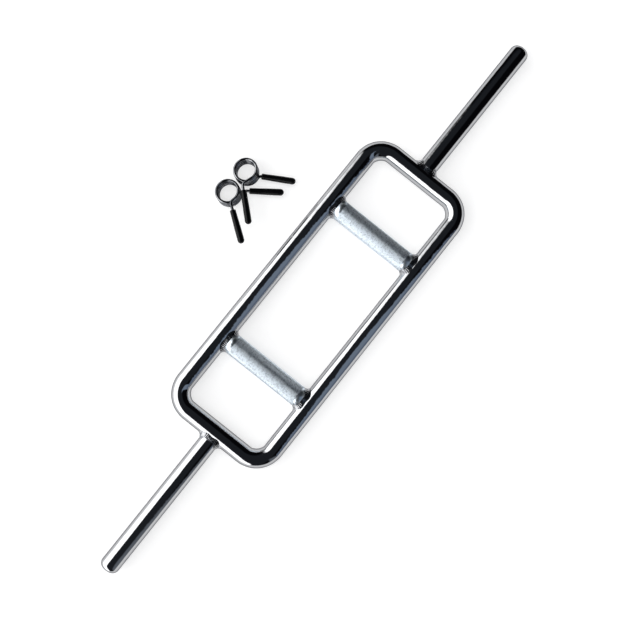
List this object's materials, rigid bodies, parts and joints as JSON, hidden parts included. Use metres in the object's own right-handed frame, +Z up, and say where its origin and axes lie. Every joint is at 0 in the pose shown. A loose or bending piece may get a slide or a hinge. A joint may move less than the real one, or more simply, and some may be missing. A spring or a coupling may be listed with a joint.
{
  "type": "triceps bar",
  "caption": "Chromed steel triceps bar: a rounded tube frame with two knurled cross grips and a plain sleeve at each end, with loose spring collars that clamp weight plates.",
  "frame": {"origin": "on the floor, under the middle of the box round the bar and its two collars", "axes": "+X along the bar towards its front sleeve, +Y towards the side where the collars lie, +Z up"},
  "size_m": [0.864, 0.2842, 0.0328],
  "materials": {
    "chrome_tube": "mirror chrome plate on bent steel tube",
    "chrome_sleeve": "mirror chrome plate on round bar",
    "chrome_weld": "chrome plate over a rippled fillet weld",
    "knurled_grip": "chrome plate over fine diamond knurling",
    "spring_wire": "bright plated spring wire",
    "black_vinyl": "glossy black dipped vinyl"
  },
  "bodies": {
    "bar": {"frame_half_left": "chrome_tube", "frame_half_right": "chrome_tube", "butt_weld_front": "chrome_tube", "butt_weld_rear": "chrome_tube", "sleeve_front": "chrome_sleeve", "sleeve_rear": "chrome_sleeve", "sleeve_weld_front": "chrome_weld", "sleeve_weld_rear": "chrome_weld", "grip_front": "knurled_grip", "grip_rear": "knurled_grip", "grip_weld_front_left": "chrome_weld", "grip_weld_front_right": "chrome_weld", "grip_weld_rear_left": "chrome_weld", "grip_weld_rear_right": "chrome_weld"},
    "collar_a": {"collar_a_coil": "spring_wire", "collar_a_fixed_cover": "black_vinyl"},
    "collar_a_handle": {"collar_a_handle_arm": "spring_wire", "collar_a_handle_cover": "black_vinyl"},
    "collar_b": {"collar_b_coil": "spring_wire", "collar_b_fixed_cover": "black_vinyl"},
    "collar_b_handle": {"collar_b_handle_arm": "spring_wire", "collar_b_handle_cover": "black_vinyl"}
  },
  "joints": [
    {"name": "collar_a_lift", "type": "slide", "parent": "bar", "child": "collar_a", "axis": [0, 0, 1], "range_m": [0, 0.12]},
    {"name": "collar_a_squeeze", "type": "hinge", "parent": "collar_a", "child": "collar_a_handle", "pos_m": [0.0746, 0.12408, 0.01105], "axis": [0.0185, 0.1549, 0.9878], "range_deg": [0, 50], "stiffness_Nm_per_rad": 6.7, "deforming": ["collar_a_coil"]},
    {"name": "collar_b_draw_off", "type": "slide", "parent": "bar", "child": "collar_b", "axis": [-1, 0, 0], "range_m": [0, 0.08]},
    {"name": "collar_b_squeeze", "type": "hinge", "parent": "collar_b", "child": "collar_b_handle", "pos_m": [0.0383, 0.12478, 0.01095], "axis": [-0.0005, -0.1489, -0.9889], "range_deg": [0, 50], "stiffness_Nm_per_rad": 6.7, "deforming": ["collar_b_coil"]}
  ]
}
